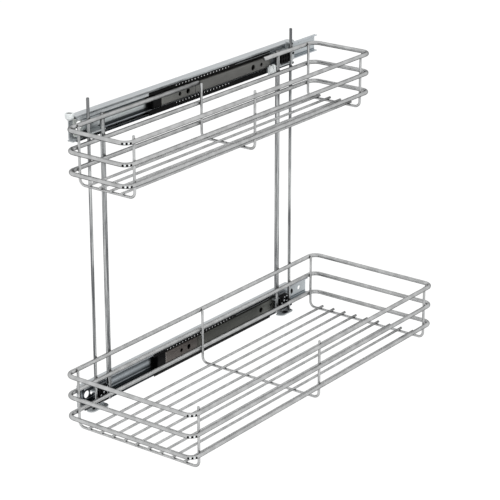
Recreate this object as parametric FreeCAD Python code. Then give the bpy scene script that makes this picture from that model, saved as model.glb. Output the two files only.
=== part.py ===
import FreeCAD, Part
import math
import os

V = FreeCAD.Vector

# Under-sink pull-out: two ball slides screwed to a cabinet wall, one above the other,
# carrying four upright rods and two wire baskets.
# Millimetres. X runs along the rails, -X is the way the baskets are pulled out.
# +Y points into the cabinet wall, whose face is Y = 0. +Z is up.
# The origin is the centre of the four wall screw holes.

# Cabinet rails and their wall screws
rail_gap = 320.0            # between the two rail centre-lines
rail_length = 400.0
rail_height = 29.0
rail_depth = 12.7
rail_sheet = 1.4
rail_bend = 0.8             # inside bend radius
race_depth = 0.4            # groove for the balls in each flange
screw_spacing = 320.0       # along the rail
screw_hole = 6.4
sight_from_front = 11.0     # holes through runner and rail that are seen open
upper_sights = ((0.0, 11.0),)             # (offset, diameter)
lower_sights = ((0.0, 9.0), (8.8, 6.0))
sight_shift = (5.0, -2.2)   # the rail's hole behind the runner's is further in, lower
sight_extra = 2.5           # and wider

# Balls and cages
ball = 3.5
ball_clearance = 0.05
ball_pitch = 5.75
ball_count = 23             # in each row
first_ball = 26.0           # from the cage's front end
cage_length = 238.0
cage_front = -78.0
cage_sheet = 1.0
cage_clearance = 0.4
ball_depth = 7.6            # ball centre from the wall

# Runners
runner_front = -197.0
runner_length = 450.0
lower_runner_short = 14.0   # the lower one ends this much sooner at the rear
runner_sheet = 1.2
runner_bend = 0.6
runner_web = 4.4            # back of the runner's web from the wall
runner_reach = 9.6          # free edges of its flanges from the wall
tail_hole = 6.0
tail_hole_x = 225.0
key_hole = 4.0
key_hole_x = 209.0

# Dark carrier plate welded into each runner, a shallow channel, and the block before it
plate_front = -55.0
upper_margins = (0.0, 3.4)  # runner's flat web left free below and above the plate
lower_margins = (1.3, 1.3)
plate_stand = 6.8           # its face from the runner's web
plate_sheet = 1.2
plate_bend = 0.8
plate_groove = 60.0         # pressed line, from the plate's front end
# Rear end past the thick rod, holes (distance, diameter) from the front end and from the rear
upper_plate = dict(past=-7.6, front=((33.0, 5.0), (48.0, 6.5)), rear=((34.5, 7.0), (18.0, 5.0)))
lower_plate = dict(past=9.4, front=((30.0, 5.0), (44.0, 6.5)), rear=((35.0, 7.0), (14.5, 5.0)))
block_length = 15.0

# Rivets
rivet_shank = 3.0
rivet_head = 5.5
rivet_head_height = 0.8

# Wires and rods
ring_wire = 5.0
cross_wire = 3.0
thin_rod = 3.5
thick_rod = 5.5
ring_bend = 11.0            # on the wire's centre-line
cross_bend = 7.0
bend_steps = 3              # straight steps that stand for a bend
ring_sides = 12             # flats that stand for round wire, the first facing the wall
cross_sides = 8
rod_sides = 12
rivet_sides = 8

# Brackets that join the rods to the runners
bracket_sheet = 1.5
rail_clearance = 0.5        # bracket to the fixed rail's edges
rod_wall = 4.0              # bracket material beyond a rod's centre
foot_width = 18.0           # part riveted to the runner
arm_past_rod = 1.2          # arms reach this far past the thick rod's centre
strip_width = 12.0          # upright strip between the rods
lug_width = 16.0            # rounded lug under the lower rail
lug_corner = 6.0
lug_drop = 16.25            # its centre below the rail's centre-line
ear_rise = 16.25            # ear round the upper rear thin rod, above the centre-line

# Rods: centre-lines along X, and their ends
front_thin_x = -187.5
front_thick_x = -163.3
rear_thick_x = 159.6
rear_thin_x = 185.0
rod_tail = 2.0              # below the lower arm
thin_rod_rise = 25.0        # above the upper basket's top ring
thick_rod_rise = 2.5

# Baskets: (front x, rear x, width, ring heights, first and last cross wire inset,
# number of floor wires), measured between wire centre-lines, heights from the slide's
lower = dict(name="lower", front=-242.0, rear=233.0, width=179.0,
             heights=(-2.4, 22.6, 47.6), inset=(16.0, 12.0), middle=-2.4, floor=9)
upper = dict(name="upper", front=-229.0, rear=226.0, width=85.0,
             heights=(-39.4, -15.4, 8.6), inset=(16.3, 15.2), middle=-0.8, floor=4)
cross_drop = 17.0           # cross wires' low run below the lowest ring
cross_rise = (4.8, 4.8, 0.0)        # their far ends above the top ring, front to rear
floor_overhang = 4.0
gap_in_top_ring = 126.8     # opening in the upper basket's top back wire

# Small mouldings
catch_size = (16.5, 5.1)
catch_slot = 0.4            # share of its width and height
upper_catch = (-9.5, 1.5)   # low and high edges from the rail's centre-line
lower_catch = (-11.0, 11.0)
clip_size = (11.5, 4.2, 13.0)
clip_drop = 4.5             # its top below the upper rail's centre-line
clip_prong = 4.2
side_gap = 0.3              # clip and catches to the bracket's arms
clip_tab = 7.0              # height of the bracket's tab behind it
bumper_diameter = 10.0
bumper_height = 7.5
foot_length = 4.0

# Depths from the wall that follow from the values above
plate_back = rail_depth + rail_clearance
plate_face = plate_back + bracket_sheet
thick_y = -(plate_face + thick_rod / 2)
ring_y = -(plate_face + thick_rod + ring_wire / 2)
thin_y = -(plate_face + thick_rod - thin_rod / 2)
arm_reach = plate_face + thick_rod / 2 + arm_past_rod
web_face = runner_web + runner_sheet
half_rail = rail_height / 2
half_room = half_rail - rail_sheet
ball_z = half_room + race_depth - ball_clearance - ball / 2
half_runner = ball_z - ball / 2 - ball_clearance + race_depth
reach = half_runner - runner_sheet - runner_bend
rail_front = -rail_length / 2
slides = {"upper": rail_gap / 2, "lower": -rail_gap / 2}
clip_right = rear_thick_x - rod_wall - side_gap
clip_left = clip_right - clip_size[0]

os.makedirs("parts", exist_ok=True)


def save(node, *shapes):
    shape = shapes[0] if len(shapes) == 1 else Part.makeCompound(list(shapes))
    shape.exportStep("parts/" + node + ".step")


def joined(pieces):
    whole = pieces[0].multiFuse(pieces[1:]) if len(pieces) > 1 else pieces[0]
    return whole.Solids[0]


def cut(shape, cutters):
    return shape.cut(cutters[0].multiFuse(cutters[1:])).Solids[0]


def box(x, y, z):
    """A box from its (low, high) pair along each axis."""
    return Part.makeBox(x[1] - x[0], y[1] - y[0], z[1] - z[0], V(x[0], y[0], z[0]))


def bar(points, diameter, sides, closed=False):
    """A bar of flat sides carried along points that lie in one plane, mitred at each."""
    count = len(points)
    ways = [(points[(i + 1) % count] - points[i]).normalize()
            for i in range(count if closed else count - 1)]
    turn = V(0, 0, 0)
    for before, after in zip(ways, ways[1:]):
        turn = turn + before.cross(after)
    if turn.Length < 1e-9:
        turn = V(0, 1, 0) if abs(ways[0].y) < 0.5 else V(0, 0, 1)
    up = turn.normalize()
    outs = [way.cross(up) for way in ways]
    reach = diameter / 2 / math.cos(math.pi / sides)
    angles = [(k + 0.5) * 2 * math.pi / sides for k in range(sides)]
    rings = []
    for i, point in enumerate(points):
        a = outs[i - 1] if closed or i > 0 else outs[0]
        b = outs[i % count] if closed or i < count - 1 else outs[-1]
        out = (a + b) * (1 / (1 + a.dot(b)))
        rings.append([point + out * (reach * math.cos(t)) + up * (reach * math.sin(t))
                      for t in angles])
    loops = [] if closed else [rings[0], rings[-1]]
    for i in range(count if closed else count - 1):
        first, second = rings[i], rings[(i + 1) % count]
        loops += [[first[k - 1], first[k], second[k], second[k - 1]] for k in range(sides)]
    return from_loops(loops)


def from_loops(loops):
    faces = [Part.Face(Part.makePolygon(loop + loop[:1])) for loop in loops]
    solid = Part.makeSolid(Part.makeShell(faces))
    if solid.Volume < 0:
        solid.reverse()
    return solid


def wire(points, diameter, bend, sides, closed=False):
    """Wire along points, with a few straight steps round each bend."""
    count, path = len(points), []
    for i, corner in enumerate(points):
        if not closed and i in (0, count - 1):
            path.append(corner)
            continue
        to_a = (points[i - 1] - corner).normalize()
        to_b = (points[(i + 1) % count] - corner).normalize()
        centre = corner + (to_a + to_b) * bend
        for k in range(bend_steps + 1):
            t = math.pi / 2 * k / bend_steps
            path.append(centre - to_b * (bend * math.cos(t)) - to_a * (bend * math.sin(t)))
    return bar(path, diameter, sides, closed)


def rounded_chain(points, radii):
    """Edges along points, with each inner corner rounded by its radius."""
    edges, last = [], points[0]
    for before, corner, after, radius in zip(points, points[1:], points[2:], radii):
        to_a = (before - corner).normalize()
        to_b = (after - corner).normalize()
        half = to_a.getAngle(to_b) / 2
        reach = radius / math.tan(half)
        inward = (to_a + to_b).normalize()
        middle = corner + inward * (radius / math.sin(half) - radius)
        start, end = corner + to_a * reach, corner + to_b * reach
        if (start - last).Length > 1e-6:
            edges.append(Part.makeLine(last, start))
        edges.append(Part.Arc(start, middle, end).toShape())
        last = end
    edges.append(Part.makeLine(last, points[-1]))
    return edges


def bent_sheet(path, sheet, bend):
    """The closed outline of a sheet whose one skin follows path, with the metal on its left."""
    inner = [path[0]]
    turns = []
    for a, b, c in zip(path, path[1:], path[2:]):
        u, w = (b - a).normalize(), (c - b).normalize()
        side_u, side_w = V(0, -u.z, u.y), V(0, -w.z, w.y)
        mitre = (side_u + side_w) * (sheet / (1 + side_u.dot(side_w)))
        inner.append(b + mitre)
        turns.append(u.cross(w).x > 0)
    u = (path[1] - path[0]).normalize()
    inner[0] = path[0] + V(0, -u.z, u.y) * sheet
    u = (path[-1] - path[-2]).normalize()
    inner.append(path[-1] + V(0, -u.z, u.y) * sheet)
    outer_radii = [bend + sheet if left else bend for left in turns]
    inner_radii = [bend if left else bend + sheet for left in turns]
    edges = rounded_chain(path, outer_radii)
    edges.append(Part.makeLine(path[-1], inner[-1]))
    edges += rounded_chain(inner[::-1], inner_radii[::-1])
    edges.append(Part.makeLine(inner[0], path[0]))
    return Part.Face(Part.Wire(Part.__sortEdges__(edges)))


def upright(x, y, diameter, low, high):
    return bar([V(x, y, low), V(x, y, high)], diameter, rod_sides)


def rivet(x, z, face):
    """A rivet whose head stands on face and whose tail is flush with the runner's back."""
    shank = bar([V(x, face, z), V(x, -runner_web, z)], rivet_shank, rivet_sides)
    head = bar([V(x, face - rivet_head_height, z), V(x, face, z)], rivet_head, rivet_sides)
    return joined([shank, head])


def between(thin_x, thick_x):
    """The middle of the free space between the two rods of a bracket."""
    sign = 1 if thin_x > thick_x else -1
    return (thick_x + sign * thick_rod / 2 + thin_x - sign * thin_rod / 2) / 2


def across(x, z, diameter, low=-60.0, high=10.0):
    """A round cutter along Y."""
    return Part.makeCylinder(diameter / 2, high - low, V(x, low, z), V(0, 1, 0))


# Slides
rivets = []
cage_top = half_room - cage_clearance
cage_low = half_runner + cage_clearance
cage_web = (rail_sheet + runner_web) / 2
for name, z in slides.items():
    # Cabinet rail: a C of sheet, open towards the baskets, with a race for each row of balls
    races = [Part.makeCylinder(ball / 2 + ball_clearance, 2 * runner_length,
                               V(-runner_length, -ball_depth, z + side * ball_z), V(1, 0, 0))
             for side in (-1, 1)]
    skin = [V(0, -rail_depth, z - half_rail), V(0, 0, z - half_rail),
            V(0, 0, z + half_rail), V(0, -rail_depth, z + half_rail)]
    outline = bent_sheet(skin, rail_sheet, rail_bend)
    rail = outline.extrude(V(rail_length, 0, 0))
    rail.translate(V(rail_front, 0, 0))
    cutters = [across(side * screw_spacing / 2, z, screw_hole, -4, 4) for side in (-1, 1)]
    sights = [(rail_front + sight_from_front + at, d)
              for at, d in (upper_sights if name == "upper" else lower_sights)]
    cutters += [across(x + sight_shift[0], z + sight_shift[1], d + sight_extra, -4, 4)
                for x, d in sights]
    rail = cut(rail, cutters + races)
    if name == "upper":
        foot = box((rail_front - foot_length, rail_front),
                   (-rail_depth + 2.5, -2.5), (z - half_rail, z - half_rail + rail_sheet))
        rail = joined([rail, foot])
    save(name + "_cabinet_rail", rail)

    # Ball cage: a shallow channel behind the runner, its edges standing behind the balls
    back, front = -cage_web + cage_sheet / 2, -cage_web - cage_sheet / 2
    ledge = -(ball_depth - ball / 2)
    section = [V(0, back, z + cage_top), V(0, back, z - cage_top), V(0, ledge, z - cage_top),
               V(0, ledge, z - cage_low), V(0, front, z - cage_low), V(0, front, z + cage_low),
               V(0, ledge, z + cage_low), V(0, ledge, z + cage_top)]
    cage = Part.Face(Part.makePolygon(section + section[:1])).extrude(V(cage_length, 0, 0))
    cage.translate(V(cage_front, 0, 0))
    save(name + "_ball_cage", cage)

    # Balls, each with a few flat faces, one of which rests on the cage's edge
    rows, rings = [], []
    for height, half in ((-0.96, 0.2), (0.0, 1.0), (0.96, 0.2)):
        rings.append([V(a * half * ball / 2, b * half * ball / 2, height * ball / 2)
                      for a, b in ((1, 1), (-1, 1), (-1, -1), (1, -1))])
    loops = [rings[0], rings[2]]
    for under, over in zip(rings, rings[1:]):
        loops += [[under[k - 1], under[k], over[k], over[k - 1]] for k in range(4)]
    bead = from_loops(loops)
    for side in (-1, 1):
        for k in range(ball_count):
            one = bead.copy()
            one.translate(V(cage_front + first_ball + k * ball_pitch, -ball_depth,
                            z + side * ball_z))
            rows.append(one)
    save(name + "_balls", *rows)

    # Runner: a smaller C between the ball rows
    low, high = z - half_runner, z + half_runner
    skin = [V(0, -runner_reach, low), V(0, -runner_web, low),
            V(0, -runner_web, high), V(0, -runner_reach, high)]
    outline = bent_sheet(skin, runner_sheet, runner_bend)
    length = runner_length - (lower_runner_short if name == "lower" else 0.0)
    runner = outline.extrude(V(length, 0, 0))
    runner.translate(V(runner_front, 0, 0))
    cutters = [across(tail_hole_x, z, tail_hole), across(key_hole_x, z, key_hole)]
    cutters += [across(x, z, d) for x, d in sights]
    runner = cut(runner, cutters + races)

    # Carrier plate: a channel whose edges stand on the runner's web
    plate = upper_plate if name == "upper" else lower_plate
    plate_rear = rear_thick_x + plate["past"]
    face = -web_face - plate_stand
    under, over = upper_margins if name == "upper" else lower_margins
    low, high = z - reach + under, z + reach - over
    skin = [V(0, -web_face, high), V(0, face, high), V(0, face, low), V(0, -web_face, low)]
    channel = bent_sheet(skin, plate_sheet, plate_bend).extrude(V(plate_rear - plate_front, 0, 0))
    channel.translate(V(plate_front, 0, 0))
    middle = (low + high) / 2
    cutters = [across(plate_front + at, middle, d) for at, d in plate["front"]]
    cutters += [across(plate_rear - at, middle, d) for at, d in plate["rear"]]
    cutters.append(box((plate_front + plate_groove, plate_front + plate_groove + 2.0),
                       (face - 1, face + 0.4), (low, high)))
    save(name + "_carrier_plate", cut(channel, cutters))

    # Black block that closes the plate's front end
    block = box((plate_front - block_length, plate_front),
                (face, -web_face), (z - reach, z + reach))
    corners = [e for e in block.Edges
               if abs(e.Vertexes[0].Point.y - face) < 1e-6
               and abs(e.Vertexes[1].Point.y - face) < 1e-6]
    save(name + "_end_block", block.makeChamfer(0.8, corners))

    # Brackets: a foot riveted in the runner and two arms whose notches hold the rods
    for end, thin_x, thick_x in (("front", front_thin_x, front_thick_x),
                                 ("rear", rear_thin_x, rear_thick_x)):
        left = min(thin_x, thick_x) - rod_wall
        right = max(thin_x, thick_x) + rod_wall
        middle = between(thin_x, thick_x)
        foot_face = -web_face - bracket_sheet
        pieces = [box((right - foot_width, right), (foot_face, -web_face), (z - reach, z + reach))]
        for low, high in ((z - reach, z - reach + bracket_sheet),
                          (z + reach - bracket_sheet, z + reach)):
            pieces.append(box((right - foot_width, right), (-arm_reach, foot_face), (low, high)))
            pieces.append(box((left, right), (-arm_reach, -plate_back), (low, high)))
        strip = middle - strip_width / 2, middle + strip_width / 2
        lowest = z - reach if name == "upper" else z - lug_drop - bracket_sheet / 2
        if (name, end) != ("upper", "front"):
            pieces.append(box(strip, (-plate_face, -plate_back), (lowest, z + reach)))
        if name == "lower":
            lug_front = -plate_face - thick_rod - ring_wire / 2
            lug = box((middle - lug_width / 2, middle + lug_width / 2), (lug_front, -plate_back),
                      (lowest, lowest + bracket_sheet))
            ends = [e for e in lug.Edges
                    if abs(e.Vertexes[0].Point.y - lug_front) < 1e-6
                    and abs(e.Vertexes[1].Point.y - lug_front) < 1e-6
                    and abs(e.Vertexes[0].Point.x - e.Vertexes[1].Point.x) < 1e-6]
            pieces.append(lug.makeFillet(lug_corner, ends))
        if (name, end) == ("upper", "rear"):
            ear = thin_x - rod_wall, thin_x + rod_wall
            top = z + ear_rise + bracket_sheet / 2
            pieces.append(box(ear, (-plate_face, -plate_back), (z + reach - bracket_sheet, top)))
            pieces.append(box(ear, (-arm_reach, -plate_back), (top - bracket_sheet, top)))
            pieces.append(box((clip_left, left + 2.0), (-plate_face, -plate_back),
                              (z - reach - clip_tab + bracket_sheet, z - reach + bracket_sheet)))
        bracket = joined(pieces)
        passages = [upright(thin_x, thin_y, thin_rod, z - rail_height, z + rail_height),
                    upright(thick_x, thick_y, thick_rod, z - rail_height, z + rail_height)]
        spots = (right - foot_width * 2 / 3, right - foot_width / 3)
        if (name, end) != ("upper", "front"):
            room = catch_size[0] / 2 + side_gap
            passages.append(box((middle - room, middle + room),
                                (-arm_reach - 1, -plate_face), (z - reach, z + reach)))
        holes = [bar([V(x, foot_face - 1, z), V(x, 0, z)], rivet_shank, rivet_sides)
                 for x in spots]
        save(name + "_" + end + "_bracket", cut(bracket, passages + holes))
        runner = cut(runner, holes)
        rivets += [rivet(x, z, foot_face) for x in spots]
    save(name + "_runner", runner)
save("rivets", *rivets)

# Catches: moulded blocks on the bracket faces between the two rods
for node, slide, thin_x, thick_x in (
        ("upper_rear_catch", "upper", rear_thin_x, rear_thick_x),
        ("lower_rear_catch", "lower", rear_thin_x, rear_thick_x),
        ("lower_front_catch", "lower", front_thin_x, front_thick_x)):
    z = slides[slide]
    middle = between(thin_x, thick_x)
    wide, deep = catch_size
    low, high = (z + edge for edge in (upper_catch if slide == "upper" else lower_catch))
    body = box((middle - wide / 2, middle + wide / 2), (-plate_face - deep, -plate_face),
               (low, high))
    across_slot, up_slot = wide * catch_slot / 2, (high - low) * catch_slot / 2
    slot = box((middle - across_slot, middle + across_slot),
               (-plate_face - deep, -plate_face - deep / 2),
               ((low + high) / 2 - up_slot, (low + high) / 2 + up_slot))
    save(node, body.cut(slot))

# Clip with two prongs, hanging from the tab on the upper rear bracket
wide, deep, tall = clip_size
top = slides["upper"] - clip_drop
body = box((clip_left, clip_right), (-plate_face - deep, -plate_face), (top - tall, top))
edges = [e for e in body.Edges if abs(e.Vertexes[0].Point.z - top + tall) < 1e-6
         and abs(e.Vertexes[0].Point.x - e.Vertexes[1].Point.x) < 1e-6]
body = body.makeFillet(2.0, edges)
middle = (clip_left + clip_right) / 2
space = wide / 2 - clip_prong
notch = box((middle - space, middle + space), (-plate_face - deep, -plate_face),
            (top - tall, top - tall * 0.38))
save("upper_rear_clip", body.cut(notch))

# Bumper capping the upper cabinet rail's front end
base = slides["upper"] + half_runner + cage_clearance
at = V(rail_front - bumper_diameter * 0.42, -rail_depth / 2, base)
body = Part.makeCylinder(bumper_diameter / 2, bumper_height, at)
dish = Part.makeCylinder(bumper_diameter * 0.32, 0.6, at + V(0, 0, bumper_height - 0.6))
beyond = box((rail_front, rail_front + bumper_diameter), (-rail_depth, 0),
             (base, base + bumper_height))
save("upper_front_bumper", body.cut(dish.fuse(beyond)))

# Baskets
for basket in (lower, upper):
    name, width = basket["name"], basket["width"]
    front, rear = basket["front"], basket["rear"]
    far_y = ring_y - width
    heights = [slides[name] + height for height in basket["heights"]]
    for level, height in zip(("bottom", "middle", "top"), heights):
        corners = [V(front, ring_y, height), V(rear, ring_y, height),
                   V(rear, far_y, height), V(front, far_y, height)]
        if name == "upper" and level == "top":
            start = V(basket["middle"] + gap_in_top_ring, ring_y, height)
            end = V(basket["middle"], ring_y, height)
            ring = wire([start, corners[1], corners[2], corners[3], corners[0], end],
                        ring_wire, ring_bend, ring_sides)
        else:
            ring = wire(corners, ring_wire, ring_bend, ring_sides, closed=True)
        save(name + "_" + level + "_ring", ring)
    near = ring_y - ring_wire / 2 - cross_wire / 2
    away = far_y + ring_wire / 2 + cross_wire / 2
    low = heights[0] - cross_drop
    spots = (front + basket["inset"][0], basket["middle"], rear - basket["inset"][1])
    for level, x, rise in zip(("front", "middle", "rear"), spots, cross_rise):
        top = heights[2]
        points = [V(x, near, top), V(x, near, low), V(x, away, low), V(x, away, top + rise)]
        save(name + "_" + level + "_cross_wire",
             wire(points, cross_wire, cross_bend, cross_sides))
    pitch = (near - away) / (basket["floor"] + 1)
    wires = []
    for k in range(basket["floor"]):
        y = near - pitch * (k + 1)
        height = low + cross_wire
        wires.append(bar([V(spots[0] - floor_overhang, y, height),
                          V(spots[2] + floor_overhang, y, height)], cross_wire, cross_sides))
    save(name + "_floor_wires", *wires)

# Rods
foot_z = slides["lower"] - reach - rod_tail
top_ring = slides["upper"] + upper["heights"][2]
for node, x, y, diameter, top in (
        ("front_thin_rod", front_thin_x, thin_y, thin_rod, top_ring + thin_rod_rise),
        ("front_thick_rod", front_thick_x, thick_y, thick_rod, top_ring + thick_rod_rise),
        ("rear_thick_rod", rear_thick_x, thick_y, thick_rod, top_ring + thick_rod_rise),
        ("rear_thin_rod", rear_thin_x, thin_y, thin_rod, top_ring + thin_rod_rise)):
    save(node, upright(x, y, diameter, foot_z, top))
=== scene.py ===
import bmesh
import bpy
import numpy as np
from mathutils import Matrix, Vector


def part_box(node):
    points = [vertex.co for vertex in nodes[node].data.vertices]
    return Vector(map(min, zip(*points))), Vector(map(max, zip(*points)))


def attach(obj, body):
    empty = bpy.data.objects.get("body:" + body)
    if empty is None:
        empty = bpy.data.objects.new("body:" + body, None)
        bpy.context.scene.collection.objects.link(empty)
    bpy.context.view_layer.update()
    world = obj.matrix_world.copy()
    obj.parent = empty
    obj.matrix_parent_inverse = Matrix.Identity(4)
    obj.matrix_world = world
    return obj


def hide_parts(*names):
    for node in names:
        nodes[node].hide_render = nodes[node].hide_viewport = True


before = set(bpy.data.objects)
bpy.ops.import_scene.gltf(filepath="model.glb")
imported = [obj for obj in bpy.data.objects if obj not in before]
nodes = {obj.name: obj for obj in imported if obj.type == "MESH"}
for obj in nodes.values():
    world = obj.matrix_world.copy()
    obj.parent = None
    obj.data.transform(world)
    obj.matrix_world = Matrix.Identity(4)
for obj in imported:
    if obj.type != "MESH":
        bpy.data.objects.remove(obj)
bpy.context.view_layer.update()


# Cabinet rails. Two C channels of cold-rolled steel sheet, drawn through rollers and
# zinc plated, screwed flat to the cabinet's side wall. The solids keep their shape and
# get the plating: satin, with fine lines along the rail and cloudy patches.
def linear(code):
    """sRGB hex to linear RGBA, by the sRGB curve."""
    c = np.array([int(code[i:i + 2], 16) for i in (1, 3, 5)]) / 255
    c = np.where(c <= 0.04045, c / 12.92, ((c + 0.055) / 1.055) ** 2.4)
    return (*map(float, c), 1.0)


def add(tree, kind, inputs=None, **settings):
    """Adds a node; an input given as a socket is linked, any other is a value."""
    made = tree.nodes.new(kind)
    for key, value in settings.items():
        setattr(made, key, value)
    for key, value in (inputs or {}).items():
        if isinstance(value, bpy.types.NodeSocket):
            tree.links.new(value, made.inputs[key])
        else:
            made.inputs[key].default_value = value
    return made


def new_finish(name):
    """An empty material, its node tree, its surface shader and its Object coordinates."""
    made = bpy.data.materials.new(name)
    made.use_nodes = True
    tree = made.node_tree
    shader = tree.nodes["Principled BSDF"]
    place = add(tree, "ShaderNodeTexCoord").outputs["Object"]
    return made, tree, shader, place


def two_tone(tree, factor, dark, light, low=0.3, high=0.7):
    """A ramp from one hex colour to another between two factors."""
    ramp = add(tree, "ShaderNodeValToRGB", {"Fac": factor})
    ramp.color_ramp.elements[0].position = low
    ramp.color_ramp.elements[0].color = linear(dark)
    ramp.color_ramp.elements[1].position = high
    ramp.color_ramp.elements[1].color = linear(light)
    return ramp.outputs["Color"]


def glossed(tree, shader, noise, low, high):
    """Roughness goes from low to high while a noise goes from 0.3 to 0.7."""
    made = add(tree, "ShaderNodeMapRange", {"Value": noise, 1: 0.3, 2: 0.7, 3: low, 4: high})
    tree.links.new(made.outputs[0], shader.inputs["Roughness"])


def bumped(tree, shader, height, strength, depth):
    """A small relief from a height; its depth is in metres."""
    made = add(tree, "ShaderNodeBump", {"Height": height, "Strength": strength,
                                        "Distance": depth})
    tree.links.new(made.outputs[0], shader.inputs["Normal"])


def rolled(tree, place, along, across, patches, grit):
    """Rolled sheet: (lines + clouds) / 2, where the lines are a noise stretched along X and
    the clouds an even one. Gives that mean, the lines and the clouds."""
    drawn = add(tree, "ShaderNodeMapping", {"Vector": place, "Scale": (along, across, across)})
    lines = add(tree, "ShaderNodeTexNoise", {"Vector": drawn.outputs[0], "Scale": 1.0,
                                             "Detail": 3.0, "Roughness": grit})
    cloud = add(tree, "ShaderNodeTexNoise", {"Vector": place, "Scale": patches, "Detail": 4.0})
    both = add(tree, "ShaderNodeMath", {0: lines.outputs["Fac"], 1: cloud.outputs["Fac"]},
               operation="ADD")
    half = add(tree, "ShaderNodeMath", {0: both.outputs[0], 1: 0.5}, operation="MULTIPLY")
    return half.outputs[0], lines.outputs["Fac"], cloud.outputs["Fac"]


def zinc_plate(name, dark, light, rough, metallic=1.0):
    """Bright zinc on rolled steel: lines 0.6 mm apart along X and clouds of 18 mm."""
    made, tree, shader, place = new_finish(name)
    half, lines, cloud = rolled(tree, place, 9, 1600, 55.0, 0.6)
    colour = two_tone(tree, half, dark, light, 0.36, 0.64)
    tree.links.new(colour, shader.inputs["Base Color"])
    shader.inputs["Metallic"].default_value = metallic
    glossed(tree, shader, cloud, rough - 0.07, rough + 0.08)
    bumped(tree, shader, lines, 0.12, 0.0002)
    return made


def dress(node, finish):
    """Gives a CAD node one finish all over."""
    mesh = nodes[node].data
    mesh.materials.clear()
    mesh.materials.append(finish)


slide_height = 160.0  # mm from the origin to each slide's centre-line


def height_in_slide(tree, place):
    """The place's parts, and the height from the slide's centre-line in metres:
    z - h sign(z), where h is the slide's height."""
    parted = add(tree, "ShaderNodeSeparateXYZ", {"Vector": place})
    side = add(tree, "ShaderNodeMath", {0: parted.outputs["Z"]}, operation="SIGN")
    level = add(tree, "ShaderNodeMath", {0: side.outputs[0], 1: -slide_height / 1000,
                                         2: parted.outputs["Z"]}, operation="MULTIPLY_ADD")
    return parted, level.outputs[0]


def mixed_colour(tree, share, first, second):
    """One colour turning to another with share."""
    made = add(tree, "ShaderNodeMix", {"Factor": share}, data_type="RGBA")
    for side, colour in (("A", first), ("B", second)):
        if isinstance(colour, str):
            made.inputs[side].default_value = linear(colour)
        else:
            tree.links.new(colour, made.inputs[side])
    return made.outputs["Result"]


def step(tree, value, start, end):
    """0 before start and 1 past end, straight between them."""
    return add(tree, "ShaderNodeMapRange", {"Value": value, 1: start, 2: end}).outputs[0]


rail_zinc = zinc_plate("rail_zinc", "#a7acaf", "#c2c6c8", 0.34)
# Painted shade: the lower edge, turned from the light, is painted almost black.
tree = rail_zinc.node_tree
shader = tree.nodes["Principled BSDF"]
place = add(tree, "ShaderNodeTexCoord").outputs["Object"]
parted, level = height_in_slide(tree, place)
share = add(tree, "ShaderNodeMath", {0: step(tree, level, -0.0118, -0.0125),
                                     1: step(tree, parted.outputs["Y"], -0.0112, -0.0119)},
            operation="MULTIPLY")
plated = shader.inputs["Base Color"].links[0].from_socket
tree.links.new(mixed_colour(tree, share.outputs[0], plated, "#24292d"),
               shader.inputs["Base Color"])
# Round the sight holes at the front end the plating is dull and takes more light.
lit_and_shaded_zone = step(tree, parted.outputs["X"], -0.183, -0.190)
shiny = add(tree, "ShaderNodeMapRange", {"Value": lit_and_shaded_zone, 3: 1.0, 4: 0.35})
tree.links.new(shiny.outputs[0], shader.inputs["Metallic"])
# Painted light: a lighter, less metallic copy of the zinc, for the small parts that sit in shade:
# tongues, flanges, pins and the runner's folded lip.
painted_light_zinc = zinc_plate("painted_light_zinc", "#b4b9bb", "#cdd1d3", 0.42, 0.4)
for node in ("upper_cabinet_rail", "lower_cabinet_rail"):
    dress(node, rail_zinc)


# Bumper. A white nylon plug, injection moulded, pressed over the front end of the upper
# rail. Its top is dished, and its rim is rounded by the mould.
def put(name, vertices, faces, finish, smooth=True):
    """A mesh object at the origin from arrays in millimetres."""
    mesh = bpy.data.meshes.new(name)
    mesh.from_pydata((np.asarray(vertices, float) * 0.001).tolist(), [],
                     [list(map(int, f)) for f in faces])
    mesh.validate()
    mesh.materials.append(finish)
    mesh.polygons.foreach_set("use_smooth", np.full(len(mesh.polygons), smooth))
    made = bpy.data.objects.new(name, mesh)
    bpy.context.scene.collection.objects.link(made)
    return made


def quads(rows, columns, close_rows=False, close_columns=False):
    """Faces of a grid whose points are numbered row by row."""
    r = np.arange(rows if close_rows else rows - 1)[:, None]
    c = np.arange(columns if close_columns else columns - 1)[None, :]
    r2, c2 = (r + 1) % rows, (c + 1) % columns
    cells = np.stack([r * columns + c, r * columns + c2, r2 * columns + c2, r2 * columns + c], -1)
    return cells.reshape(-1, 4)


def turned(outline, steps=40):
    """A profile of (radius, height) pairs turned about Z: x = r cos t, y = r sin t."""
    outline = np.asarray(outline, float)
    t = np.linspace(0, 2 * np.pi, steps, endpoint=False)
    r, h = outline[:, :1], outline[:, 1:]
    points = np.stack([r * np.cos(t), r * np.sin(t), h + 0 * t], -1).reshape(-1, 3)
    return points, quads(len(outline), steps, close_columns=True)


def tidy(thing, gap=0.000005):
    """Merges doubled points and turns all faces outwards."""
    work = bmesh.new()
    work.from_mesh(thing.data)
    bmesh.ops.remove_doubles(work, verts=work.verts, dist=gap)
    bmesh.ops.recalc_face_normals(work, faces=work.faces)
    work.to_mesh(thing.data)
    work.free()
    return thing


def moulded(name, dark, light, rough, specular=0.5):
    """Injection-moulded plastic: faint mottling of 9 mm and a spark-eroded grain of 0.25 mm."""
    made, tree, shader, place = new_finish(name)
    mottle = add(tree, "ShaderNodeTexNoise", {"Vector": place, "Scale": 110.0, "Detail": 3.0})
    fine = add(tree, "ShaderNodeTexNoise", {"Vector": place, "Scale": 4000.0, "Detail": 1.0})
    tree.links.new(two_tone(tree, mottle.outputs["Fac"], dark, light),
                   shader.inputs["Base Color"])
    glossed(tree, shader, mottle.outputs["Fac"], rough - 0.06, rough + 0.06)
    bumped(tree, shader, fine.outputs["Fac"], 0.1, 0.0001)
    shader.inputs["Specular IOR Level"].default_value = specular
    return made


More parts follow.
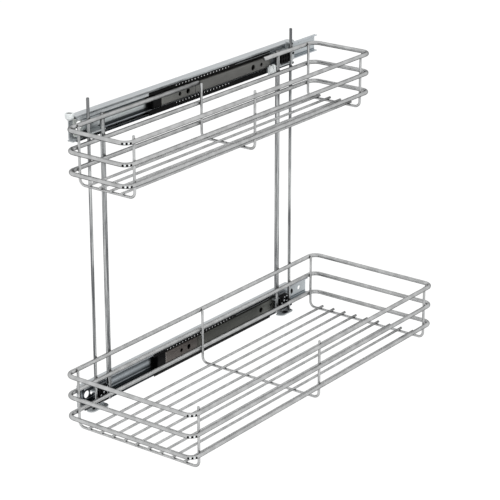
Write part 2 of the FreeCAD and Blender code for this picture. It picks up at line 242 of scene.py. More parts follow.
# White nylon has a soft sheen and turns faintly blue in its thicker parts.
white_nylon = moulded("white_nylon", "#dfe4e4", "#eef1f1", 0.38)
dress("upper_front_bumper", white_nylon)
low, high = (np.array(c) * 1000 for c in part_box("upper_front_bumper"))
tall = high[2] - low[2]
axis_x, axis_y = low[0] + 5.0, (low[1] + high[1]) / 2
outline = [(0, 0), (3.2, 0), (3.4, 1.3), (4.3, 1.4), (4.8, 1.8), (4.95, 2.4),
           (4.95, tall - 0.9), (4.8, tall - 0.35), (4.5, tall), (3.9, tall), (3.7, tall - 0.3),
           (3.6, tall - 0.6), (0, tall - 0.6)]
points, faces = turned(outline)
points += [axis_x, axis_y, low[2]]
points[:, 0] = np.minimum(points[:, 0], high[0])
bumper = put("rail_bumper", points, faces, white_nylon)
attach(bumper, "wall_rails")
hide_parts("upper_front_bumper")
# The dish in its top gets painted shade: a grey disc stands for the light its rim keeps off it.
painted_shade_nylon = moulded("painted_shade_nylon", "#858686", "#9b9c9c", 0.5)
points, faces = turned([(0, 0), (3.55, 0), (3.55, 0.1), (3.4, 0.2), (0, 0.2)])
dish = tidy(put("bumper_dish_shade", points + [axis_x, axis_y, high[2] - 0.55], faces, painted_shade_nylon))
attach(dish, "wall_rails")


# Ball cages. Strips of black acetal joined behind the runner; each ball sits behind a
# round window in the strip. The cage runs at half the speed of the baskets.
def carried(profile, start, end):
    """A closed (y, z) profile carried from one x to another, with both ends closed."""
    profile = np.asarray(profile, float)
    n = len(profile)
    points = np.concatenate([np.column_stack([np.full(n, x), profile]) for x in (start, end)])
    return points, [*quads(2, n, close_columns=True), list(range(n))[::-1],
                    list(range(n, 2 * n))]


def windowed(first, pitch, count, radius, level, low, high, start, end, sides=24):
    """A flat strip in XZ with a row of round windows. Each cell joins a circle to the
    rectangle round it, point by point: r p / |p| for each p of the rectangle's rim."""
    s = np.linspace(0, 4, sides, endpoint=False)
    k, f = s.astype(int) % 4, s % 1
    a, b = pitch / 2, (low - level, high - level)
    corners = np.array([(-a, b[0]), (a, b[0]), (a, b[1]), (-a, b[1])])
    rim = corners[k] * (1 - f)[:, None] + corners[(k + 1) % 4] * f[:, None]
    hole = radius * rim / np.linalg.norm(rim, axis=1)[:, None]
    middle = np.column_stack([first + pitch * np.arange(count), np.full(count, level)])
    cells = (middle[:, None, None] + np.stack([rim, hole])[None]).reshape(-1, 2)
    one = quads(2, sides, close_columns=True)
    faces = (one[None] + 2 * sides * np.arange(count)[:, None, None]).reshape(-1, 4)
    before, behind = first - pitch / 2, first + pitch * (count - 0.5)
    ends = np.array([(start, low), (before, low), (before, high), (start, high),
                     (behind, low), (end, low), (end, high), (behind, high)])
    tail = len(cells) + np.array([[0, 1, 2, 3], [4, 5, 6, 7]])
    return np.concatenate([cells, ends]), [*faces, *tail]


def joined(parts):
    """Several (points, faces) pairs as one."""
    points, faces, at = [], [], 0
    for p, f in parts:
        points.append(p)
        faces += [[i + at for i in face] for face in f]
        at += len(p)
    return np.concatenate(points), faces


def blocks(centres, size):
    """A box of one size at each centre."""
    unit = np.array([(x, y, z) for x in (-1, 1) for y in (-1, 1) for z in (-1, 1)]) / 2
    sides = np.array([(0, 1, 3, 2), (4, 6, 7, 5), (0, 4, 5, 1), (2, 3, 7, 6), (0, 2, 6, 4),
                      (1, 5, 7, 3)])
    points = (np.asarray(centres)[:, None] + unit[None] * size).reshape(-1, 3)
    return points, (sides[None] + 8 * np.arange(len(centres))[:, None, None]).reshape(-1, 4)


def beads(centres, radii, rows=8, columns=12):
    """A ball at each centre: latitude and longitude circles scaled by the radii."""
    u = np.linspace(0, np.pi, rows)[:, None]
    v = np.linspace(0, 2 * np.pi, columns, endpoint=False)[None]
    unit = np.stack([np.sin(u) * np.cos(v), np.sin(u) * np.sin(v), np.cos(u) + 0 * v], -1)
    points = np.asarray(centres)[:, None] + unit.reshape(-1, 3)[None] * radii
    one = quads(rows, columns, close_columns=True)[:, ::-1]
    faces = one[None] + rows * columns * np.arange(len(centres))[:, None, None]
    return points.reshape(-1, 3), faces.reshape(-1, 4)


# Black acetal is deep black with hardly any sheen.
black_acetal = moulded("black_acetal", "#050506", "#0c0c0d", 0.42, 0.07)
# Polished balls show as small bright points in the windows.
ball_steel, tree, shader, place = new_finish("ball_steel")
haze = add(tree, "ShaderNodeTexNoise", {"Vector": place, "Scale": 260.0})
tree.links.new(two_tone(tree, haze.outputs["Fac"], "#dfe1e2", "#f4f5f5"),
               shader.inputs["Base Color"])
shader.inputs["Metallic"].default_value = 0.7
shader.inputs["Roughness"].default_value = 0.2
# Painted shade: the steel wire between the black tongues is zinc painted mid grey, for the shade
# it lies in.
painted_shade_wire = zinc_plate("painted_shade_wire", "#6f7475", "#858a8b", 0.45, 0.4)
ball, ball_pitch, ball_count, ball_depth, ball_height = 2.3, 5.75, 23, 12.0, 10.2
window, first_ball, tongue_end = 1.05, 26.0, 150.0
strip_y, strip_thickness = -12.95, 0.36
strip_front, strip_back = strip_y - strip_thickness / 2, strip_y + strip_thickness / 2
for slide, level, hidden, shown, shade_skirt in (("upper", slide_height, 4, 18, -14.6),
                                           ("lower", -slide_height, 0, 22, -15.8)):
    low, high = (np.array(c) * 1000 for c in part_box(slide + "_ball_cage"))
    first = low[0] + first_ball
    last = first + ball_pitch * (ball_count - 1)
    web = [(high[1], 12.7), (low[1], 12.7), (low[1], 10.7), (high[1] - 1, 10.7),
           (high[1] - 1, -10.7), (low[1], -10.7), (low[1], -12.7), (high[1], -12.7)]
    parts = [carried(web, low[0], high[0])]
    along = first + ball_pitch * (np.arange(ball_count + 1) - 0.5)
    for side in (-1, 1):
        posts = np.column_stack([along, np.full(len(along), -9.4),
                                 np.full(len(along), side * 11.1)])
        parts.append(blocks(posts, (1.4, 7.1, 1.4)))
    # Two narrow tongues go on behind the last ball, with a steel wire between them.
    parts += [carried([(strip_front, z0), (strip_back, z0), (strip_back, z1), (strip_front, z1)],
                      last + 8.0, tongue_end) for z0, z1 in ((8.75, 10.0), (10.5, 12.3))]
    points, faces = joined(parts)
    points[:, 2] += level
    body = tidy(put(slide + "_cage_body", points, faces, black_acetal, smooth=False))
    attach(body, slide + "_cage")
    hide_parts(slide + "_ball_cage")
    strips = []
    # Painted shade: the lower strip reaches down past the rail's lower edge and runs on to x 152
    # mm, a black sheet over the shade there.
    for side, low_z, high_z, end in ((1, 8.75, 12.3, last + 8.0), (-1, shade_skirt, -8.75, 152.0)):
        flat, faces = windowed(first + ball_pitch * hidden, ball_pitch, shown, window,
                               side * ball_height, low_z, high_z, low[0], end)
        points = np.column_stack([flat[:, 0], np.full(len(flat), strip_y), flat[:, 1] + level])
        strips.append((points, faces))
    points, faces = joined(strips)
    strip = tidy(put(slide + "_cage_windows", points, faces, black_acetal, smooth=False))
    thick = strip.modifiers.new("wall", "SOLIDIFY")
    thick.thickness, thick.offset = strip_thickness / 1000, 0.0
    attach(strip, slide + "_cage")
    wire_front = strip_front - 0.03
    points, faces = carried([(wire_front, 10.0), (strip_back, 10.0), (strip_back, 10.5),
                             (wire_front, 10.5)], last + 7.0, tongue_end)
    points[:, 2] += level
    wire = tidy(put(slide + "_cage_wire", points, faces, painted_shade_wire, smooth=False))
    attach(wire, slide + "_cage")
    centres = np.array([(x, -ball_depth, level + side * ball_height) for side in (-1, 1)
                        for x in first + ball_pitch * np.arange(ball_count)])
    points, faces = beads(centres, ball / 2)
    row = tidy(put(slide + "_ball_rows", points, faces, ball_steel))
    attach(row, slide + "_cage")
    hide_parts(slide + "_balls")
    # The rail's free edges are rolled in to a thin bead in front of the balls.
    lips = [carried([(-12.7, side * 13.3), (-12.7, side * 12.25), (-12.6, side * 12.15),
                     (-12.0, side * 12.15), (-11.9, side * 12.3), (-11.9, side * 13.3)],
                    -200.0, 200.0) for side in (-1, 1)]
    points, faces = joined(lips)
    points[:, 2] += level
    lip = tidy(put(slide + "_rail_lips", points, faces, rail_zinc, smooth=False))
    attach(lip, "wall_rails")


# Runners. Smaller zinc-plated channels that carry the baskets and roll on the balls. The lower
# one gets painted shade, with a painted light streak, between its front bracket and the black
# block.
runner_zinc, tree, shader, place = new_finish("runner_zinc")
half, lines, cloud = rolled(tree, place, 7, 1300, 60.0, 0.5)
bright = two_tone(tree, half, "#a4a9af", "#bfc4c9", 0.36, 0.64)
parted, level = height_in_slide(tree, place)


def banded(tree, value, start, end, stops):
    """A ramp of several hex colours; each stop is (value, colour)."""
    made = add(tree, "ShaderNodeValToRGB", {"Fac": step(tree, value, start, end)})
    ends = made.color_ramp.elements
    for at, code in stops:
        share = (at - start) / (end - start)
        one = ends[0] if share <= 0 else ends[-1] if share >= 1 else ends.new(share)
        one.color = linear(code)
    return made.outputs["Color"]


def in_upper_slide(tree, parted):
    """1 above the part's middle and 0 below it."""
    return add(tree, "ShaderNodeMath", {0: parted.outputs["Z"], 1: 0.0},
               operation="GREATER_THAN").outputs[0]


# Painted shade and light: the insides of the open front part get bands of grey by height, dark
# under the lips and light on the web, and the lower runner also gets a painted light streak and a
# thin painted light line.
upper_front = banded(tree, level, -0.0105, 0.0105, (
    (-0.0105, "#303436"), (-0.0074, "#3b4144"), (-0.0062, "#c3c9ca"), (0.0010, "#ccd2d2"),
    (0.0028, "#b3b9bb"), (0.0040, "#3a4144"), (0.0105, "#303638")))
lower_front = banded(tree, level, -0.0105, 0.0105, (
    (-0.0105, "#272d31"), (-0.0062, "#2c3236"), (-0.0054, "#9aa1a6"), (-0.0046, "#2c3236"),
    (-0.0030, "#333a3f"), (0.0012, "#a9b0b5"), (0.0050, "#575e63"), (0.0105, "#3a4044")))
upper_half = in_upper_slide(tree, parted)
front = mixed_colour(tree, upper_half, lower_front, upper_front)
# Painted shade: from the black block back, the runner's inside is painted near black, so its
# holes show dark.
inner = mixed_colour(tree, step(tree, parted.outputs["X"], -0.080, -0.074), front, "#121314")
# Painted light and shade: the tail's lower flange gets light and dark lines by height.
tail = banded(tree, level, -0.0105, 0.0, (
    (-0.0105, "#4d565c"), (-0.0094, "#7d868b"), (-0.0086, "#a9b0b4"), (-0.0078, "#59636a"),
    (-0.0070, "#8f979c"), (-0.0062, "#b4babd"), (0.0, "#b4babd")))
inner = mixed_colour(tree, step(tree, parted.outputs["X"], 0.158, 0.162), inner, tail)
deep = step(tree, parted.outputs["Y"], -0.0093, -0.0086)
# Painted light: at its front end the upper runner's inside is painted light grey and made less
# metallic, in place of the painted shade bands.
lit_and_shaded_zone = add(tree, "ShaderNodeMath", {0: step(tree, parted.outputs["X"], -0.181, -0.186),
                                    1: upper_half}, operation="MULTIPLY")
inner = mixed_colour(tree, lit_and_shaded_zone.outputs[0], inner, "#c4c8c4")
tree.links.new(mixed_colour(tree, deep, bright, inner), shader.inputs["Base Color"])
shiny = add(tree, "ShaderNodeMapRange", {"Value": lit_and_shaded_zone.outputs[0], 3: 0.6, 4: 0.2})
tree.links.new(shiny.outputs[0], shader.inputs["Metallic"])
glossed(tree, shader, cloud, 0.24, 0.4)
bumped(tree, shader, lines, 0.12, 0.0002)
for node in ("upper_runner", "lower_runner"):
    dress(node, runner_zinc)
# The upper runner's top edge is folded forward over the balls at its open front part.
lips = [carried([(-9.2, 10.2), (-12.1, 12.05), (-12.65, 12.05), (-12.7, 11.9),
                 (-12.7, edge), (-12.4, edge - 0.3), (-12.1, edge), (-12.1, 10.6),
                 (-9.2, 9.2)], start, end)
        for start, end, edge in ((-196.0, -158.0, 9.3), (-158.0, -72.0, 9.0))]
points, faces = joined(lips)
points[:, 2] += slide_height
lip = tidy(put("upper_runner_lip", points, faces, painted_light_zinc, smooth=False))
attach(lip, "carriage")
# A black plug closes the small hole in each runner's tail.
plug_x, plug_y, plugs = 209.0, -4.1, []
for level in (slide_height, -slide_height):
    points, faces = turned([(0, 0), (2.0, 0), (2.0, 1.5), (1.6, 1.8), (0, 1.9)], 24)
    plugs.append((np.column_stack([points[:, 0] + plug_x, plug_y - points[:, 2],
                                   points[:, 1] + level]), faces))
points, faces = joined(plugs)
plug = tidy(put("key_hole_plugs", points, faces, black_acetal))
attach(plug, "carriage")


# Carrier plates. Flat steel strips under a dark grey phosphate and oil finish, riveted
# into the runners; the finish is uneven, browner at the front end.
plate_grey, tree, shader, place = new_finish("dark_phosphate")
smear = add(tree, "ShaderNodeMapping", {"Vector": place, "Scale": (12, 60, 45)})
wash = add(tree, "ShaderNodeTexNoise", {"Vector": smear.outputs[0], "Scale": 1.0, "Detail": 4.0,
                                        "Roughness": 0.55})
speck = add(tree, "ShaderNodeTexNoise", {"Vector": place, "Scale": 1500.0, "Detail": 2.0})
parted = add(tree, "ShaderNodeSeparateXYZ", {"Vector": place})
# Painted light and shade: the lower plate is a darker copy of the upper one, for the shade it
# lies in; each plate's front edge is painted light as a highlight, and the lower plate is painted
# lighter near its rear against the bracket's shade, with a dark painted rear end edge.
under = banded(tree, parted.outputs["X"], -0.055, 0.169, (
    (-0.055, "#a09c99"), (-0.0535, "#66605c"), (0.000, "#5b5552"), (0.012, "#50514c"),
    (0.125, "#4c4e4a"), (0.145, "#72746f"), (0.166, "#7a7c77"), (0.169, "#2a2b2a")))
over = banded(tree, parted.outputs["X"], -0.055, 0.152, (
    (-0.055, "#94948f"), (-0.0535, "#7c7d79"), (0.000, "#6c6c69"), (0.060, "#6e6e6b"),
    (0.152, "#737370")))
plain = mixed_colour(tree, in_upper_slide(tree, parted), under, over)
cloudy = add(tree, "ShaderNodeMix", {"Factor": 1.0}, data_type="RGBA", blend_type="MULTIPLY")
tree.links.new(plain, cloudy.inputs["A"])
tree.links.new(two_tone(tree, wash.outputs["Fac"], "#dcdcdc", "#ffffff", 0.35, 0.65),
               cloudy.inputs["B"])
tree.links.new(cloudy.outputs["Result"], shader.inputs["Base Color"])
shader.inputs["Metallic"].default_value = 0.55
shader.inputs["Roughness"].default_value = 0.46
bumped(tree, shader, speck.outputs["Fac"], 0.15, 0.0001)
for node in ("upper_carrier_plate", "lower_carrier_plate"):
    dress(node, plate_grey)


# End blocks, catches and clip. Moulded pieces: black acetal ones close the plates' front
# ends and sit between the rods, and a white nylon clip hangs at the upper rear bracket.
def cut_out(outline, start, end):
    """A closed (x, z) outline carried from one y to another."""
    points, faces = carried(outline, start, end)
    return points[:, [1, 0, 2]], faces


for node in ("upper_end_block", "lower_end_block", "lower_rear_catch", "lower_front_catch"):
    dress(node, black_acetal)
low, high = (np.array(c) * 1000 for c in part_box("upper_rear_clip"))
w, h = high[0] - low[0], high[2] - low[2]
outline = [(0.0, 0.10), (0.06, 0.02), (0.5, 0.0), (0.94, 0.10), (1.0, 0.2), (1.0, 0.55),
           (0.92, 0.80), (0.80, 1.0), (0.70, 0.93), (0.62, 0.62), (0.52, 0.55), (0.42, 0.62),
           (0.34, 0.95), (0.22, 0.98), (0.08, 0.70), (0.0, 0.55)]
points, faces = cut_out(low[[0, 2]] + np.array(outline) * (w, h), low[1], high[1])
clip = tidy(put("pronged_clip", points, faces, white_nylon, smooth=False))
edge = clip.modifiers.new("edge", "BEVEL")
edge.width, edge.segments = 0.0004, 2
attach(clip, "carriage")
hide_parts("upper_rear_clip")
specks = []
for node, z0, z1 in (("upper_rear_catch", 153.6, 165.2), ("lower_rear_catch", -169.0, -151.0),
                     ("lower_front_catch", -169.0, -151.0)):
    low, high = (np.array(c) * 1000 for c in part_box(node))
    middle = (low[0] + high[0]) / 2
    parts = [cut_out([(low[0], z0), (high[0], z0), (high[0], z1), (low[0], z1)],
                     low[1] + 0.9, high[1])]
    ribs = np.array([(x, low[1] + 0.7, (z0 + z1) / 2)
                     for x in np.linspace(low[0] + 0.7, high[0] - 0.7, 4)])
    parts.append(blocks(ribs, (1.4, 1.4, z1 - z0)))
    bars = np.array([(middle, low[1] + 0.75, z) for z in (z0 + 0.7, z0 + 5.4, z1 - 0.7)])
    parts.append(blocks(bars, (high[0] - low[0], 1.3, 1.4)))
    points, faces = joined(parts)
    catch = tidy(put(node + "_ribbed", points, faces, black_acetal, smooth=False), 0.0)
    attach(catch, "carriage")
    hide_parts(node)
    if z0 < 0:
        specks += [(middle + x, low[1] + 0.6, z) for x, z in
                   ((2.5, -154.0), (1.2, -158.4), (7.2, -153.4), (7.4, -160.2), (-3.6, -161.0))]
points, faces = beads(specks, (1.3, 0.7, 1.3))
speck = tidy(put("catch_pins", points, faces, painted_light_zinc))
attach(speck, "carriage")


# Brackets and rivets. Stamped from 1.5 mm steel sheet, zinc plated after bending; their
# lugs hold the rods, and rivets hold them and the plates to the runners.
bracket_zinc = zinc_plate("bracket_zinc", "#a3a9ab", "#c6cacc", 0.34, 0.6)
for node in ("upper_front_bracket", "upper_rear_bracket", "lower_front_bracket",
             "lower_rear_bracket"):
    dress(node, bracket_zinc)
dress("rivets", bracket_zinc)
# Two small flanges and a strap stand at the upper rear bracket, where the photo shows
# stamped edges.
flanges = [cut_out([(186.3, 153.2), (190.0, 152.8), (193.2, 154.6), (193.0, 158.0),
                    (191.6, 159.2), (193.4, 160.8), (193.0, 165.6), (189.4, 166.8),
                    (186.3, 166.4)], -18.6, -17.2),
           cut_out([(187.2, 169.0), (192.6, 168.4), (194.6, 170.2), (193.2, 172.6),
                    (195.0, 174.6), (192.8, 177.8), (189.4, 178.6), (187.2, 176.4)],
                   -16.6, -15.2),
           cut_out([(163.0, 149.6), (190.5, 149.6), (190.5, 151.3), (163.0, 151.3)],
                   -18.4, -13.4)]
points, faces = joined(flanges)
flange = tidy(put("rear_flanges", points, faces, painted_light_zinc, smooth=False), 0.0)
edge = flange.modifiers.new("edge", "BEVEL")
edge.width, edge.segments = 0.0003, 2
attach(flange, "carriage")
# Black pins sit in the flanges, and an oval grommet in the lower runner's tail.
pins = []
for x, y, z, wide, tall in ((190.2, -18.5, 161.6, 1.6, 1.0), (190.6, -16.5, 173.0, 1.3, 1.0),
                            (209.0, -5.5, -160.0, 2.1, 1.7)):
    points, faces = turned([(0, 0), (wide, 0), (wide, 0.4), (wide - 0.3, 0.7), (0, 0.7)], 20)
    pins.append((np.column_stack([points[:, 0] + x, y - points[:, 2],
                                  points[:, 1] * tall + z]), faces))
# Round rubber pads lie on the two tongues: the rear one lengthens the bracket's lug, and
# the front one reaches back under the rail.
for x, y, z, wide in ((177.5, -17.4, -175.9, 4.2), (188.6, -17.4, -175.9, 1.7),
                      (-182.0, -9.4, -179.3, 1.9)):
    points, faces = turned([(0, 0), (wide, 0), (wide, 0.5), (wide - 0.4, 0.8), (0, 0.8)], 28)
    pins.append((points + [x, y, z], faces))
half_turn = np.linspace(np.pi / 2, 3 * np.pi / 2, 14)
outline = [(-171.0, -3.2), *zip(-185.0 + 6.0 * np.cos(half_turn), -9.0 + 5.8 * np.sin(half_turn)),
           (-171.0, -14.6)]
points, faces = carried(outline, -180.6, -179.2)
tongue = [(points[:, [1, 2, 0]], faces),
          cut_out([(-180.0, -180.6), (-171.0, -180.6), (-171.0, -175.6), (-180.0, -175.6)],
                  -14.7, -13.3)]
points, faces = joined(tongue)
tongue = tidy(put("lower_front_tongue", points, faces, painted_light_zinc, smooth=False), 0.0)
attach(tongue, "carriage")
half_turn -= np.pi / 2
outline = [(172.0, -12.8), (172.0, -22.6),
           *zip(186.2 + 5.0 * np.sin(half_turn), -17.7 - 4.9 * np.cos(half_turn))]
points, faces = carried(outline, -177.0, -175.9)
hook = [(points[:, [1, 2, 0]], faces),
        cut_out([(176.0, -175.9), (190.0, -175.9), (190.0, -173.2), (176.0, -173.2)],
                -15.2, -14.0)]
points, faces = joined(hook)
hook = tidy(put("lower_rear_tongue", points, faces, painted_light_zinc, smooth=False), 0.0)
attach(hook, "carriage")
points, faces = joined(pins)
pin = tidy(put("flange_pins", points, faces, black_acetal))
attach(pin, "carriage")


# Wires and rods. Drawn mild steel wire, bent, spot welded and chrome plated. The plating
# is bright but not a mirror, so a wire shows a light core between darker edges.
chrome, tree, shader, place = new_finish("chrome_plated_wire")
film = add(tree, "ShaderNodeTexNoise", {"Vector": place, "Scale": 90.0, "Detail": 4.0})
fine = add(tree, "ShaderNodeTexNoise", {"Vector": place, "Scale": 900.0, "Detail": 2.0})
plated = two_tone(tree, film.outputs["Fac"], "#b1b2b2", "#c9caca", 0.35, 0.65)
# Painted shade: where a wire's surface faces down it is painted dark grey.
facing = add(tree, "ShaderNodeNewGeometry").outputs["Normal"]
facing = add(tree, "ShaderNodeSeparateXYZ", {"Vector": facing}).outputs["Z"]
under = step(tree, facing, -0.25, -0.7)
tree.links.new(mixed_colour(tree, under, plated, "#6f7071"), shader.inputs["Base Color"])
shader.inputs["Metallic"].default_value = 1.0
shader.inputs["Specular Tint"].default_value = linear("#5c5c5c")
glossed(tree, shader, film.outputs["Fac"], 0.27, 0.36)
bumped(tree, shader, fine.outputs["Fac"], 0.05, 0.00005)

# Painted reflection: dull dark streaks 2 mm wide and 60 mm long run along the rods.
rod_chrome, tree, shader, place = new_finish("chrome_plated_rod")
along = add(tree, "ShaderNodeMapping", {"Vector": place, "Scale": (520, 520, 16)})
streak = add(tree, "ShaderNodeTexNoise", {"Vector": along.outputs[0], "Scale": 1.0,
                                          "Detail": 3.0, "Roughness": 0.6})
plated = two_tone(tree, streak.outputs["Fac"], "#56585b", "#c6c8c8", 0.38, 0.62)
# Painted shade: the rods are painted darker above the top ring.
height = add(tree, "ShaderNodeSeparateXYZ", {"Vector": place}).outputs["Z"]
lit_and_shaded_zone = add(tree, "ShaderNodeMath", {0: step(tree, height, 0.168, 0.176), 1: 0.7},
           operation="MULTIPLY")
tree.links.new(mixed_colour(tree, lit_and_shaded_zone.outputs[0], plated, "#5c5e60"),
               shader.inputs["Base Color"])
shader.inputs["Metallic"].default_value = 1.0
shader.inputs["Specular Tint"].default_value = linear("#4c4c4c")
glossed(tree, shader, streak.outputs["Fac"], 0.36, 0.22)


def rounded(corners, bend, closed=False, steps=14):
    """Points along a line of corners, each turned into an arc: centre - b cos t - a sin t."""
    corners = np.asarray(corners, float)
    n, path = len(corners), []
    for i, corner in enumerate(corners):
        if not closed and i in (0, n - 1):
            path.append(corner[None])
            continue
        a = corners[i - 1] - corner
        b = corners[(i + 1) % n] - corner
        a, b = a / np.linalg.norm(a), b / np.linalg.norm(b)
        t = np.linspace(0, np.pi / 2, steps)[:, None]
        path.append(corner + (a + b) * bend - b * bend * np.cos(t) - a * bend * np.sin(t))
    return np.concatenate(path)


def drawn_wire(path, radius, up, closed=False, sides=20):
    """A round section carried along a flat path: p + r (out cos t + up sin t), where out
    lies in the path's plane. Open ends are chamfered and closed."""
    up = np.asarray(up, float)
    if closed:
        way = np.roll(path, -1, 0) - np.roll(path, 1, 0)
    else:
        way = np.gradient(path, axis=0)
    way /= np.linalg.norm(way, axis=1)[:, None]
    size = np.full(len(path), float(radius))
    if not closed:
        c = 0.3 * radius
        path = np.concatenate([[path[0]] * 2, [path[0] + way[0] * c], path[1:-1],
                               [path[-1] - way[-1] * c], [path[-1]] * 2])
        way = np.concatenate([way[:1]] * 2 + [way] + [way[-1:]] * 2)
        size = np.concatenate([[0, radius - c], np.full(len(path) - 4, radius), [radius - c, 0]])
    out = np.cross(way, up)
    t = np.linspace(0, 2 * np.pi, sides, endpoint=False)
    ring = out[:, None] * np.cos(t)[None, :, None] + up * np.sin(t)[None, :, None]
    points = path[:, None] + size[:, None, None] * ring
    return points.reshape(-1, 3), quads(len(path), sides, close_rows=closed, close_columns=True)


for node, radius, longer in (("front_thin_rod", 1.75, 0.0), ("front_thick_rod", 2.75, 0.0),
                             ("rear_thick_rod", 2.75, 0.0), ("rear_thin_rod", 1.75, 4.5)):
    low, high = (np.array(c) * 1000 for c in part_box(node))
    x, y = (low[0] + high[0]) / 2, (low[1] + high[1]) / 2
    foot = low[2] - longer
    path = np.column_stack([np.full(12, x), np.full(12, y), np.linspace(foot, high[2], 12)])
    points, faces = drawn_wire(path, radius, (0, 1, 0))
    piece = tidy(put(node + "_round", points, faces, rod_chrome))
    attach(piece, "carriage")
    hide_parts(node)


# Baskets. Each has three frame rings of 5 mm wire, three 3 mm cross wires that pass under
# them, and 3 mm floor wires laid on the cross wires. The upper top ring is open at the back.
back, ring_radius, cross_radius, ring_bend, cross_bend = -22.7, 2.5, 1.5, 11.0, 7.0
opening, cross_drop = 126.8, 17.0
baskets = (dict(name="lower", front=-242.0, rear=233.0, width=179.0,
                heights=(-162.4, -137.4, -112.4), cross=(-226.0, -2.4, 221.0), floor=9),
           dict(name="upper", front=-229.0, rear=226.0, width=85.0,
                heights=(120.6, 144.6, 168.6), cross=(-212.7, -0.8, 210.8), floor=4))
joints = []
for basket in baskets:
    name, front, rear = basket["name"], basket["front"], basket["rear"]
    away = back - basket["width"]
    for level, z in zip(("bottom", "middle", "top"), basket["heights"]):
        corners = [(front, back, z), (rear, back, z), (rear, away, z), (front, away, z)]
        if (name, level) == ("upper", "top"):
            corners = [(basket["cross"][1] + opening, back, z), *corners[1:], corners[0],
                       (basket["cross"][1], back, z)]
            points, faces = drawn_wire(rounded(corners, ring_bend), ring_radius, (0, 0, 1))
        else:
            points, faces = drawn_wire(rounded(corners, ring_bend, True), ring_radius, (0, 0, 1),
                                       closed=True)
        piece = tidy(put(f"{name}_{level}_frame", points, faces, chrome))
        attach(piece, "carriage")
        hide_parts(f"{name}_{level}_ring")
    near, far = back - ring_radius - cross_radius, away + ring_radius + cross_radius
    run = basket["heights"][0] - cross_drop
    top = basket["heights"][2]
    for level, x, rise in zip(("front", "middle", "rear"), basket["cross"], (4.8, 4.8, 0.0)):
        corners = [(x, near, top), (x, near, run), (x, far, run), (x, far, top + rise)]
        points, faces = drawn_wire(rounded(corners, cross_bend), cross_radius, (1, 0, 0))
        piece = tidy(put(f"{name}_{level}_cross", points, faces, chrome))
        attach(piece, "carriage")
        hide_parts(f"{name}_{level}_cross_wire")
        joints += [(x, y, z) for y in (near + cross_radius, far - cross_radius)
                   for z in basket["heights"]]
    rows = near - (near - far) / (basket["floor"] + 1) * np.arange(1, basket["floor"] + 1)
    parts = []
    for y in rows:
        path = np.linspace((basket["cross"][0] - 4, y, run + 2 * cross_radius),
                           (basket["cross"][2] + 4, y, run + 2 * cross_radius), 9)
        parts.append(drawn_wire(path, cross_radius, (0, 0, 1), sides=16))
    points, faces = joined(parts)
    piece = tidy(put(name + "_floor", points, faces, chrome))
    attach(piece, "carriage")
    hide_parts(name + "_floor_wires")


# Bend reflections. At the far front bend of every ring, three dark beads on the wire's lower
# half, with bright beads between them, are painted reflections.
dark_reflection_beads, bright_reflection_beads = [], []
for basket in baskets:
    centre = np.array([basket["front"] + ring_bend, back - basket["width"] + ring_bend])
    for z in basket["heights"]:
        turns = np.radians(np.array([206.0, 226.0, 246.0, 216.0, 236.0]))
        reach = ring_bend + 1.7
        spots = np.column_stack([centre[0] + reach * np.cos(turns),
                                 centre[1] + reach * np.sin(turns), np.full(5, z - 0.2)])
        dark_reflection_beads.append(spots[:3])
        bright_reflection_beads.append(spots[3:])
points, faces = beads(np.concatenate(dark_reflection_beads), (1.45, 1.45, 1.55))
piece = tidy(put("bend_dark_reflections", points, faces, black_acetal))
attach(piece, "carriage")
points, faces = beads(np.concatenate(bright_reflection_beads), (1.35, 1.35, 1.3))
piece = tidy(put("bend_bright_reflections", points, faces, white_nylon))
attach(piece, "carriage")


# Welds. Where rods and cross wires meet the rings the spot welds are left as small dark
# beads, dulled by heat under the plating.
weld, tree, shader, place = new_finish("weld_scale")
burn = add(tree, "ShaderNodeTexNoise", {"Vector": place, "Scale": 700.0, "Detail": 3.0})
tree.links.new(two_tone(tree, burn.outputs["Fac"], "#2e2d2c", "#6a6968"),
               shader.inputs["Base Color"])
shader.inputs["Metallic"].default_value = 0.8
shader.inputs["Roughness"].default_value = 0.5
bumped(tree, shader, burn.outputs["Fac"], 0.4, 0.0003)
spots = [(x, back + ring_radius, z) for x, ends in ((-187.5, 193.6), (-163.3, 171.1),
                                                    (159.6, 171.1), (185.0, 193.6))
         for b in baskets for z in b["heights"]]
points, faces = joined([beads(spots, (1.5, 1.6, 3.3)), beads(joints, (0.9, 1.0, 2.7))])
piece = tidy(put("weld_beads", points, faces, weld))
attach(piece, "carriage")


# Room. A white floor well below and an even white surround, two soft lamps from above and
# a weak one from the front; the camera stands where the photographer stood.
def looked_at(tree):
    """1 for rays from the camera, mirrored and passed-through ones too, else 0."""
    kind = add(tree, "ShaderNodeLightPath").outputs
    seen = add(tree, "ShaderNodeMath", {0: kind["Is Camera Ray"], 1: kind["Is Glossy Ray"]},
               operation="ADD")
    return add(tree, "ShaderNodeMath", {0: seen.outputs[0], 1: kind["Is Transmission Ray"]},
               operation="ADD", use_clamp=True).outputs[0]


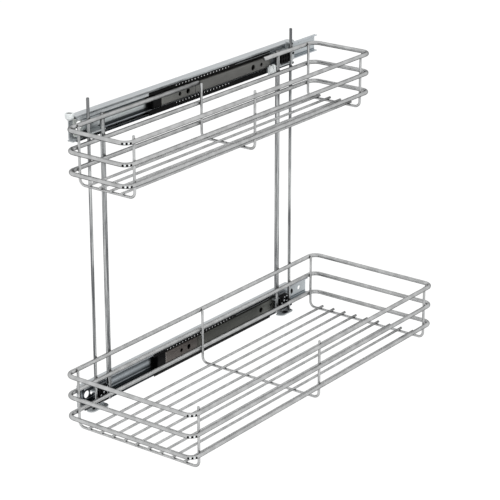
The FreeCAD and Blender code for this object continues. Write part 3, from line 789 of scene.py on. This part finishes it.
# The floor's paint is white, and to the eye it glows as evenly as a lit studio sweep.
room_white, tree, shader, place = new_finish("studio_white")
shader.inputs["Base Color"].default_value = linear("#f2f2f2")
shader.inputs["Roughness"].default_value = 0.9
eye = add(tree, "ShaderNodeMath", {0: looked_at(tree), 1: 0.86}, operation="MULTIPLY")
glow = add(tree, "ShaderNodeEmission", {"Color": (1, 1, 1, 1), "Strength": 1.12})
blend = add(tree, "ShaderNodeMixShader", {0: eye.outputs[0]})
tree.links.new(shader.outputs[0], blend.inputs[1])
tree.links.new(glow.outputs[0], blend.inputs[2])
tree.links.new(blend.outputs[0], tree.nodes["Material Output"].inputs["Surface"])
reach, depth = 6000, -520
floor = put("floor", [(-reach, -reach, depth), (reach, -reach, depth), (reach, reach, depth),
                      (-reach, reach, depth)], [(0, 1, 2, 3)], room_white, smooth=False)
world = bpy.data.worlds.new("studio")
bpy.context.scene.world = world
world.use_nodes = True
tree = world.node_tree
strength = add(tree, "ShaderNodeMapRange", {"Value": looked_at(tree), 3: 0.55, 4: 1.0})
tree.links.new(strength.outputs[0], tree.nodes["Background"].inputs["Strength"])
tree.nodes["Background"].inputs["Color"].default_value = (1, 1, 1, 1)
for name, place, size, power in (("top_lamp", (-0.4, -0.9, 1.6), 1.4, 16.0),
                                 ("left_lamp", (-1.8, -0.4, 0.9), 1.0, 9.0),
                                 ("front_lamp", (0.7, -1.9, 0.5), 1.2, 8.0)):
    lamp = bpy.data.lights.new(name, "AREA")
    lamp.energy, lamp.size = power, size
    shone = bpy.data.objects.new(name, lamp)
    shone.visible_glossy = False
    shone.location = place
    away = np.array(place) / np.linalg.norm(place)
    shone.rotation_euler = (np.arccos(away[2]), 0, np.arctan2(away[1], away[0]) + np.pi / 2)
    bpy.context.scene.collection.objects.link(shone)
lens = bpy.data.cameras.new("camera")
lens.lens, lens.sensor_width = 147.9, 36.0
camera = bpy.data.objects.new("camera", lens)
camera.location = (-1.78103, -1.43855, 0.81930)
camera.rotation_euler = np.radians((69.37, 0.0, -52.993))
lens.clip_end = 50
bpy.context.scene.collection.objects.link(camera)
bpy.context.scene.camera = camera
bpy.context.scene.view_settings.view_transform = "Standard"
